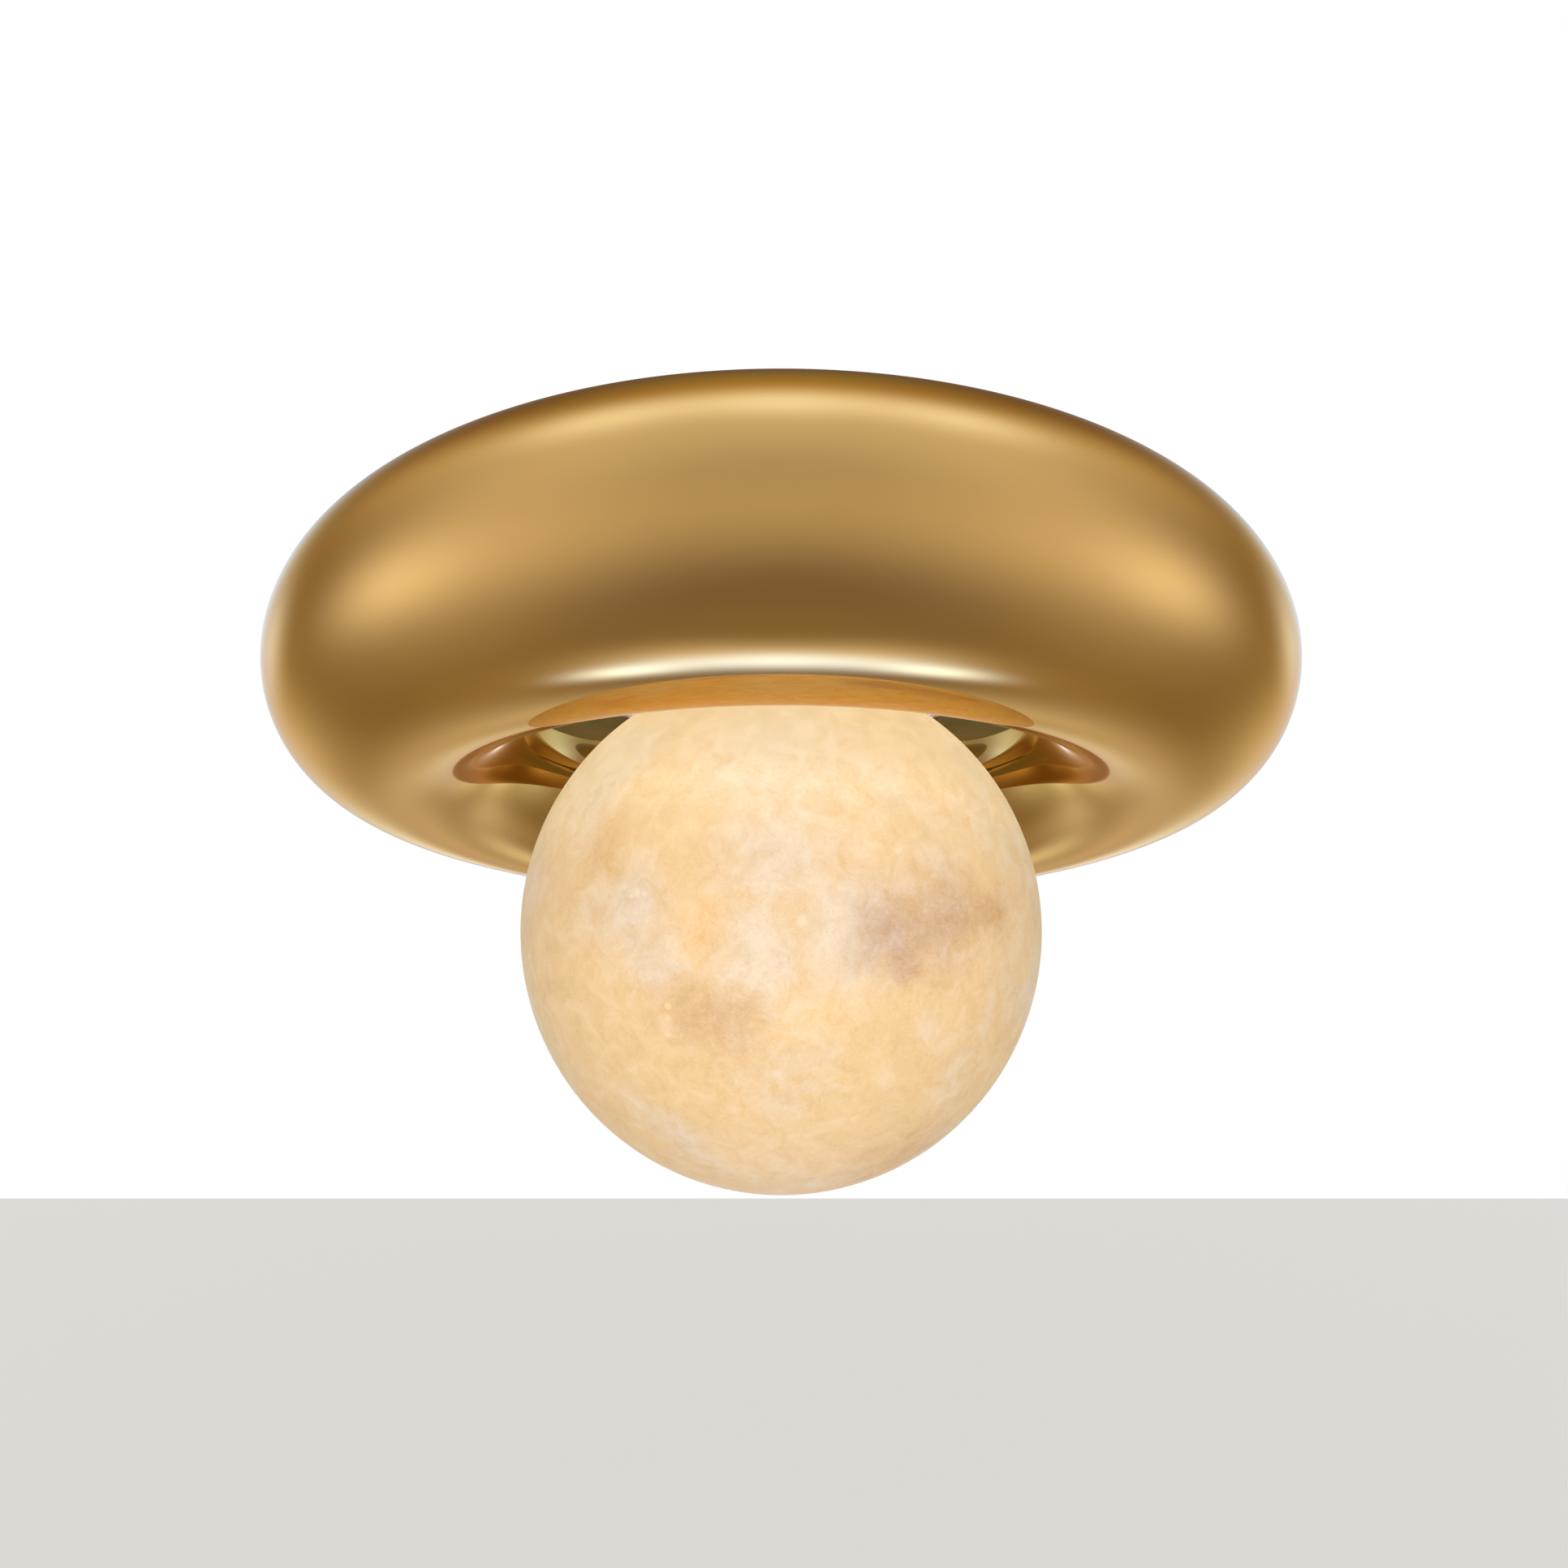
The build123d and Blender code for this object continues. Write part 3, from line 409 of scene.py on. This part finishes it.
# Materials whose look is a second colour in patches, a gloss that varies and a fine relief. The colours
# are sRGB hex, the sizes millimetres, and "along" stretches the grain along an axis as drawing does.
finishes = {
    # bright zinc plate on steel: bluish grey with a yellowish passivated bloom and a dry gleam
    "zinc_steel": {"name": "zinc_plated_steel", "color": "#BEC2C7", "other": "#BAB8AC", "patchMm": 9.0,
                   "clear": 0.24, "dull": 0.42, "grainMm": 2.2, "relief": 0.08, "shader": {"Metallic": 1.0}},
    # green dyed passivation on a zinc plated screw: a metallic green that pools darker in places
    "green_screw": {"name": "green_passivated_steel", "color": "#3F9A5C", "other": "#2C7443", "patchMm": 1.6,
                    "clear": 0.26, "dull": 0.4, "grainMm": 0.7, "relief": 0.08, "shader": {"Metallic": 1.0}},
    # cast translucent silicone: milky, slightly see-through, with a dusty hand
    "clear_silicone": {"name": "translucent_silicone", "color": "#DCDAD0", "other": "#CFCDC2", "patchMm": 6.0,
                       "clear": 0.32, "dull": 0.5, "grainMm": 0.8, "relief": 0.1,
                       "shader": {"IOR": 1.41, "Transmission Weight": 0.35}},
    # moulded natural nylon: warm white, waxy, faint flow marks
    "white_nylon": {"name": "moulded_nylon", "color": "#EBE6D8", "other": "#E2DBC8", "patchMm": 7.0,
                    "clear": 0.36, "dull": 0.5, "grainMm": 1.0, "relief": 0.06, "shader": {"IOR": 1.53}},
    # pressed and fired steatite: chalky cream with pits and a few iron specks
    "white_ceramic": {"name": "fired_steatite", "color": "#ECE6D6", "other": "#DFD5BF", "patchMm": 4.0,
                      "clear": 0.45, "dull": 0.65, "grainMm": 0.8, "relief": 0.25, "shader": {"IOR": 1.6}},
    # drawn nickel wire: warm grey mirror with draw lines along it
    "nickel_pins": {"name": "drawn_nickel", "color": "#C9C3B8", "other": "#BBB4A6", "patchMm": 5.0,
                    "clear": 0.14, "dull": 0.3, "grainMm": 0.5, "relief": 0.05, "along": 0.06,
                    "shader": {"Metallic": 1.0}},
    # injection moulded polycarbonate: clean white with a soft gloss
    "bulb_plastic": {"name": "moulded_polycarbonate", "color": "#F0EFEA", "other": "#E7E5DD", "patchMm": 9.0,
                     "clear": 0.24, "dull": 0.34, "grainMm": 0.9, "relief": 0.05, "shader": {"IOR": 1.585}},
    # white solder mask on an aluminium board: flat cream white with a weak gloss
    "led_board": {"name": "solder_masked_board", "color": "#EFEDE2", "other": "#E3DFCF", "patchMm": 3.0,
                  "clear": 0.34, "dull": 0.46, "grainMm": 0.6, "relief": 0.06, "shader": {"IOR": 1.5}},
    # acid frosted glass: white and satin, it lets light through but no picture
    "frosted_envelope": {"name": "frosted_glass", "color": "#FBF6EA", "other": "#F3ECDC", "patchMm": 8.0,
                         "clear": 0.42, "dull": 0.6, "grainMm": 0.7, "relief": 0.12,
                         "shader": {"IOR": 1.5, "Transmission Weight": 0.85}},
    # extruded wire insulation: smooth plastic with a slight ripple from the die
    "black_insulation": {"name": "black_wire_insulation", "color": "#1E1E20", "other": "#2A2A2C",
                         "patchMm": 4.0, "clear": 0.28, "dull": 0.44, "grainMm": 2.5, "relief": 0.06,
                         "shader": {"IOR": 1.53}},
    "white_insulation": {"name": "white_wire_insulation", "color": "#E9E8E2", "other": "#DEDCD2",
                         "patchMm": 4.0, "clear": 0.28, "dull": 0.44, "grainMm": 2.5, "relief": 0.06,
                         "shader": {"IOR": 1.53}},
    "green_insulation": {"name": "green_wire_insulation", "color": "#2F7D46", "other": "#276B3B",
                         "patchMm": 4.0, "clear": 0.28, "dull": 0.44, "grainMm": 2.5, "relief": 0.06,
                         "shader": {"IOR": 1.53}},
}


def patchedFinish(values):
    material, tree, shader = startMaterial(values["name"], values["color"], values["shader"])
    place = addNode(tree, "ShaderNodeTexCoord").outputs["Object"]
    drawn = addNode(tree, "ShaderNodeMapping", {"Scale": (1, 1, values.get("along", 1))}, {"Vector": place})
    patch = addNode(tree, "ShaderNodeTexNoise", {"Scale": 1 / (values["patchMm"] * mm), "Detail": 4.0},
                    {"Vector": place})
    grain = addNode(tree, "ShaderNodeTexNoise", {"Scale": 1 / (values["grainMm"] * mm), "Detail": 3.0},
                    {"Vector": drawn.outputs[0]})
    tone = addNode(tree, "ShaderNodeMapRange", {"From Min": 0.35, "From Max": 0.65},
                   {"Value": patch.outputs[0]})
    color = addNode(tree, "ShaderNodeMix", {"data_type": "RGBA", 6: linearColor(values["color"]),
                                            7: linearColor(values["other"])}, {0: tone.outputs[0]})
    rough = addNode(tree, "ShaderNodeMapRange",
                    {"From Min": 0.3, "From Max": 0.7, "To Min": values["clear"], "To Max": values["dull"]},
                    {"Value": grain.outputs[0]})
    bump = addNode(tree, "ShaderNodeBump", {"Strength": values["relief"], "Distance": fineRelief},
                   {"Height": grain.outputs[0]})
    tree.links.new(color.outputs[2], shader.inputs["Base Color"])
    tree.links.new(rough.outputs[0], shader.inputs["Roughness"])
    tree.links.new(bump.outputs[0], shader.inputs["Normal"])
    return material


# Light-emitting chips: yellow phosphor under a clear dome, with a low warm glow
phosphorValues = {"color": "#EDBE4E", "deep": "#DBA436", "glow": "#FFD88A", "glowLevel": 0.5, "dotMm": 0.4,
                  "dome": 0.6}


def phosphor(values):
    material, tree, shader = startMaterial("phosphor_chips", values["color"],
                                           {"Coat Weight": values["dome"], "Roughness": 0.5})
    place = addNode(tree, "ShaderNodeTexCoord").outputs["Object"]
    dots = addNode(tree, "ShaderNodeTexNoise", {"Scale": 1 / (values["dotMm"] * mm), "Detail": 2.0},
                   {"Vector": place})
    color = addNode(tree, "ShaderNodeMix", {"data_type": "RGBA", 6: linearColor(values["color"]),
                                            7: linearColor(values["deep"])}, {0: dots.outputs[0]})
    tree.links.new(color.outputs[2], shader.inputs["Base Color"])
    shader.inputs["Emission Color"].default_value = linearColor(values["glow"])
    shader.inputs["Emission Strength"].default_value = values["glowLevel"]
    return material


materials = {"polished_brass": polishedBrass(brassValues), "satin_brass": satinBrass(satinValues),
             "alabaster": honedAlabaster(stoneValues)}
for slotName, finish in finishes.items():
    materials[slotName] = patchedFinish(finish)
for entry in frame["record"]["subparts"]:
    cadMesh = nodes[entry["node"]].data
    cadMesh.materials.clear()
    cadMesh.materials.append(materials[entry["material_slot"]])
print("materials made")

buildRing(ringValues, materials["polished_brass"])
buildGlobe(globeValues, materials["alabaster"])
print("ring and globe built")


# Threaded wall: rows of points whose radius is the crest's less the depth of a flat-topped triangle wave
# of height over pitch less the angle's share of a turn, faded out over one pitch at both ends; a
# negative depth cuts outwards, for a thread inside a bore
def threadGrid(radius, low, high, pitch, depth, segments, center=(0, 0), rowsPerPitch=8):
    height = np.linspace(low, high, max(2, int((high - low) / pitch * rowsPerPitch) + 1))[:, None]
    angle = (np.arange(segments) * 2 * pi / segments)[None, :]
    phase = height / pitch - angle / (2 * pi)
    wave = np.abs(2 * (phase - np.floor(phase)) - 1)
    wave = np.clip(1.4 * wave - 0.2, 0, 1)  # the flats at crest and root are a seventh of the pitch each
    fade = np.clip(np.minimum(height - low, high - height) / pitch, 0, 1)
    reach = radius - depth * wave * fade
    z = np.broadcast_to(height, reach.shape)
    return np.stack([center[0] + reach * np.cos(angle), center[1] + reach * np.sin(angle), z], -1)


# Centre tube with its metric thread and chamfered ends
tubeValues = {"radius": 5.0, "bore": 3.4, "low": -59.2, "high": -22.5, "chamfer": 0.4, "pitch": 1.0,
              "depth": 0.5, "segments": 64}


def buildCenterTube(values, material):
    low, high, cut, n = values["low"], values["high"], values["chamfer"], values["segments"]
    thread = threadGrid(values["radius"], low + cut, high - cut, values["pitch"], values["depth"], n)
    bottom = turnedGrid([(values["bore"], low), (values["radius"] - cut, low)], n)
    top = turnedGrid([(values["radius"] - cut, high), (values["bore"], high)], n)
    tube = gridPiece("threaded_tube", np.concatenate([bottom, thread, top]), wrapRows=True)
    return finishPiece(tube, "fixture", material, "zinc_steel", "center_nipple")


# The two studs of the crossbar
studValues = {"radius": 2.0, "spacing": 115.0, "low": -36.8, "high": 0.0, "chamfer": 0.5, "pitch": 0.7,
              "depth": 0.38, "segments": 32}


def buildStuds(values, material):
    low, high, cut, n = values["low"], values["high"], values["chamfer"], values["segments"]
    grids = []
    for side in (-1, 1):
        center = (side * values["spacing"] / 2, 0)
        thread = threadGrid(values["radius"], low + cut, high, values["pitch"], values["depth"], n, center)
        bottom = turnedGrid([(0, low), (values["radius"] - cut, low)], n, center)
        top = turnedGrid([(0, high)], n, center)
        grids.append(np.concatenate([bottom, thread, top]))
    studs = gridPiece("threaded_studs", grids)
    return finishPiece(studs, "fixture", material, "zinc_steel", "mounting_studs")


# Globe holder: turned flange with a coarse outside thread on its skirt
holderValues = {"hole": 5.05, "flange": 47.0, "top": -31.0, "under": -34.0, "edge": 0.725, "skirt": 36.05,
                "skirtWall": 2.9, "low": -45.0, "pitch": 2.5, "depth": 1.0, "segments": 200}


def buildHolder(values, material):
    n, edge, inner = values["segments"], values["edge"], values["skirt"] - values["skirtWall"]
    flange = turnedGrid([(values["flange"], values["under"]), (values["flange"], values["top"] - edge),
                         (values["flange"] - edge, values["top"]), (values["hole"], values["top"]),
                         (values["hole"], values["under"]), (inner, values["under"]), (inner, values["low"]),
                         (values["skirt"] - edge, values["low"])], n)
    thread = threadGrid(values["skirt"], values["low"] + edge, values["under"], values["pitch"],
                        values["depth"], n)
    holder = gridPiece("threaded_globe_holder", np.concatenate([flange, thread]), wrapRows=True)
    return finishPiece(holder, "fixture", material, "satin_brass", "globe_holder")


# Globe collar: flange over the stone's mouth, coarse thread in its bore and a fine one outside
collarValues = {"bore": 36.1, "outer": 39.7, "flange": 47.0, "top": -35.0, "under": -37.5, "edge": 0.72,
                "low": -53.0, "pitch": 2.5, "depth": 0.95, "nutPitch": 1.5, "nutDepth": 0.6, "nutTop": -46.0,
                "segments": 200}


def buildCollar(values, material):
    n, edge = values["segments"], values["edge"]
    inside = threadGrid(values["bore"], values["low"], values["top"], values["pitch"], -values["depth"], n)
    flange = turnedGrid([(values["flange"] - edge, values["top"]), (values["flange"], values["top"] - edge),
                         (values["flange"], values["under"]), (values["outer"], values["under"])], n)
    outside = threadGrid(values["outer"], values["low"] + edge, values["nutTop"], values["nutPitch"],
                         values["nutDepth"], n)[::-1]
    end = turnedGrid([(values["outer"] - edge, values["low"])], n)
    collar = gridPiece("threaded_globe_collar", np.concatenate([inside, flange, outside, end]), wrapRows=True)
    return finishPiece(collar, "globe", material, "satin_brass", "globe_collar")


# Chips on both faces of each lamp's board: a block with a low dome, whose outline is a superellipse, that
# is the sign of the cosine and sine times their size to the power 2 / 5; the levels are the outline's
# share and the rise's share from the board up
chipValues = {"circle": 15.5, "width": 3.4, "length": 2.8, "rise": 0.7, "columns": (-2.15, 2.15), "rows": 7,
              "low": -130.4, "pitch": 3.9, "face": 0.6, "power": 5.0, "corners": 20,
              "levels": [(0, 0), (1, 0), (1, 0.7), (0.88, 0.85), (0.6, 0.97), (0, 1.0)]}


def buildChips(number, values, material):
    angle = np.arange(values["corners"]) * 2 * pi / values["corners"]
    circle = np.stack([np.cos(angle), np.sin(angle)], -1)
    size = np.array([values["width"], values["length"]])
    outline = np.sign(circle) * np.abs(circle) ** (2 / values["power"]) * size / 2
    turn = radians(90 + 120 * number)
    out, across = np.array([cos(turn), sin(turn), 0]), np.array([-sin(turn), cos(turn), 0])
    upward = np.array([0, 0, 1])
    grids = []
    for side in (-1, 1):
        for column in values["columns"]:
            for row in range(values["rows"]):
                height = values["low"] + row * values["pitch"]
                middle = out * values["circle"] + across * column + upward * height
                chip = np.stack([middle + side * out * (values["face"] + values["rise"] * rise)
                                 + share * (outline[:, :1] * across + outline[:, 1:] * upward)
                                 for share, rise in values["levels"]])
                grids.append(chip if side > 0 else chip[:, ::-1])
    chips = gridPiece(f"led_chips_{number + 1}", grids)
    return finishPiece(chips, f"bulb_{number + 1}", material, "led_board")


buildCenterTube(tubeValues, materials["zinc_steel"])
buildStuds(studValues, materials["zinc_steel"])
buildHolder(holderValues, materials["satin_brass"])
buildCollar(collarValues, materials["satin_brass"])
chipMaterial = phosphor(phosphorValues)
for lampNumber in range(3):
    buildChips(lampNumber, chipValues, chipMaterial)
print("threads and lamp chips built")

# Camera at the photograph's angle: millimetres to the ring's middle, degrees below it and degrees that
# the view tilts back down; focal length, aim and image side in pixels of the photograph
cameraValues = {"distance": 442.8, "below": 19.69, "tilt": -3.25, "focal": 1305.0, "aimX": 962.5,
                "aimY": 966.0, "image": 1932, "sensorMm": 36}


def placeCamera(values):
    rise = radians(values["below"])
    look = radians(values["below"] + values["tilt"])
    data = bpy.data.cameras.new("photo_camera")
    camera = bpy.data.objects.new("photo_camera", data)
    bpy.context.scene.collection.objects.link(camera)
    bpy.context.scene.camera = camera
    distance = values["distance"] * mm
    camera.location = (0, -distance * cos(rise), ringValues["height"] * mm - distance * sin(rise))
    right, up = Vector((1, 0, 0)), Vector((0, -sin(look), cos(look)))
    back = Vector((0, -cos(look), -sin(look)))
    camera.rotation_euler = Matrix((right, up, back)).transposed().to_euler()
    data.sensor_width = values["sensorMm"]
    data.lens = values["sensorMm"] * values["focal"] / values["image"]
    data.shift_x = (values["image"] / 2 - values["aimX"]) / values["image"]
    data.shift_y = (values["aimY"] - values["image"] / 2) / values["image"]
    data.clip_start = 0.01


placeCamera(cameraValues)

# Studio: soft lights at directions (azimuth from straight behind the object, elevation), each with
# a tightness and a colour; a pair stands on both sides
studioValues = {
    "mirroredFill": (0.06, 0.00, 0.00),
    "lights": [
        (180, 74, 35, (0.73, 0.99, 1.69)),
        (119, 62, 39, (0.71, 0.87, 1.31)),
        (99, 85, 10, (0.23, 0.15, 0.00)),
        (129, 40, 7, (0.61, 0.60, 0.63)),
        (180, 52, 9, (0.45, 0.46, 0.50)),
        (98, -6, 22, (0.70, 0.73, 0.88)),
        (120, -10, 5, (0.82, 0.76, 0.72)),
        (83, 40, 6, (0.14, 0.11, 0.05)),
        (0, -64, 109, (0.97, 1.67, 4.46)),
        (40, -3, 29, (0.39, 0.52, 0.76)),
        (82, 47, 22, (0.30, 0.31, 0.29)),
        (76, -44, 8, (0.28, 0.24, 0.16)),
        (173, -4, 4, (0.31, 0.29, 0.26)),
        (0, 67, 20, (0.07, 0.15, 0.15)),
        (37, 5, 7, (0.55, 0.48, 0.26)),
        (25, -67, 44, (0.75, 0.73, 0.78)),
        (180, -84, 10, (0.24, 0.22, 0.13)),
        (40, 26, 35, (0.44, 0.76, 1.16)),
        (23, -2, 73, (0.28, 0.42, 0.44)),
        (54, 14, 80, (0.51, 0.77, 1.51)),
        (13, -22, 49, (0.60, 0.66, 0.88)),
        (22, -61, 140, (0.44, 0.90, 2.60)),
        (26, -55, 249, (1.27, 1.92, 4.13)),
        (23, -34, 46, (0.27, 0.27, 0.30)),
        (36, -48, 27, (0.20, 0.16, 0.06)),
        (17, -5, 118, (0.52, 0.69, 0.99)),
        (2, -3, 71, (0.35, 0.42, 0.47)),
        (0, -38, 84, (0.98, 1.06, 1.33)),
    ],
    "evenLight": 0.40, "lampSize": 1.3,
    "lamps": [("front_softbox", 27.0, (0, -2.0, -0.55)), ("back_softbox", 20.0, (0, 2.2, -0.35))],
    "floor": "#E9E6E1", "floorGlow": 0.45, "floorHeight": -2.3, "floorSize": 24.0,
}


# World: what brass mirrors is the sum of the lights' lobes, colour x exp(tightness x (cosine of the
# angle to it - 1)); everything else gets a plain even light, and the camera sees a white background
def buildStudio(values):
    world = bpy.data.worlds.new("studio")
    bpy.context.scene.world = world
    world.use_nodes = True
    tree = world.node_tree
    background = tree.nodes["Background"]
    direction = addNode(tree, "ShaderNodeTexCoord").outputs["Generated"]
    total = addNode(tree, "ShaderNodeCombineXYZ", dict(zip("XYZ", values["mirroredFill"]))).outputs[0]
    for azimuth, elevation, tight, color in values["lights"]:
        a, e = radians(azimuth), radians(elevation)
        for side in ((1,) if azimuth in (0, 180) else (-1, 1)):
            toward = (side * sin(a) * cos(e), cos(a) * cos(e), sin(e))
            dot = addNode(tree, "ShaderNodeVectorMath", {"operation": "DOT_PRODUCT", 1: toward},
                          {0: direction})
            power = addNode(tree, "ShaderNodeMath", {"operation": "MULTIPLY_ADD", 1: tight, 2: -tight},
                            {0: dot.outputs["Value"]})
            lobe = addNode(tree, "ShaderNodeMath", {"operation": "EXPONENT"}, {0: power.outputs[0]})
            added = addNode(tree, "ShaderNodeVectorMath", {"operation": "MULTIPLY_ADD", 1: color},
                            {0: lobe.outputs[0], 2: total})
            total = added.outputs[0]
    rays = addNode(tree, "ShaderNodeLightPath")
    straight = addNode(tree, "ShaderNodeMath", {"operation": "MAXIMUM"},
                       {0: rays.outputs["Is Camera Ray"], 1: rays.outputs["Is Transmission Ray"]})
    lit = addNode(tree, "ShaderNodeMix", {"data_type": "RGBA", 6: (values["evenLight"],) * 3 + (1,)},
                  {0: rays.outputs["Is Glossy Ray"], 7: total})
    seen = addNode(tree, "ShaderNodeMix", {"data_type": "RGBA", 7: (1, 1, 1, 1)},
                   {0: straight.outputs[0], 6: lit.outputs[2]})
    tree.links.new(seen.outputs[2], background.inputs["Color"])
    for name, power, place in values["lamps"]:
        data = bpy.data.lights.new(name, "AREA")
        data.energy = power
        data.size = values["lampSize"]
        lamp = bpy.data.objects.new(name, data)
        bpy.context.scene.collection.objects.link(lamp)
        lamp.location = place
        aim = Vector((0, 0, globeMiddle * mm)) - lamp.location
        lamp.rotation_euler = aim.to_track_quat("-Z", "Y").to_euler()
        lamp.visible_glossy = False
    half = values["floorSize"]
    corners = np.array([[(-half, -half), (half, -half)], [(-half, half), (half, half)]]) / mm
    flat = np.concatenate([corners, np.full((2, 2, 1), values["floorHeight"] / mm)], -1)
    floor = gridPiece("floor", flat, wrapColumns=False)
    paint, tree, shader = startMaterial("pale_floor", values["floor"],
                                        {"Roughness": 0.8, "Emission Color": linearColor(values["floor"])})
    seen = addNode(tree, "ShaderNodeMath", {"operation": "MULTIPLY", 1: values["floorGlow"]},
                   {0: addNode(tree, "ShaderNodeLightPath").outputs["Is Camera Ray"]})
    tree.links.new(seen.outputs[0], shader.inputs["Emission Strength"])
    floor.data.materials.append(paint)
    floor.visible_glossy = False


buildStudio(studioValues)
bpy.context.scene.view_settings.view_transform = "Standard"
print("studio built")
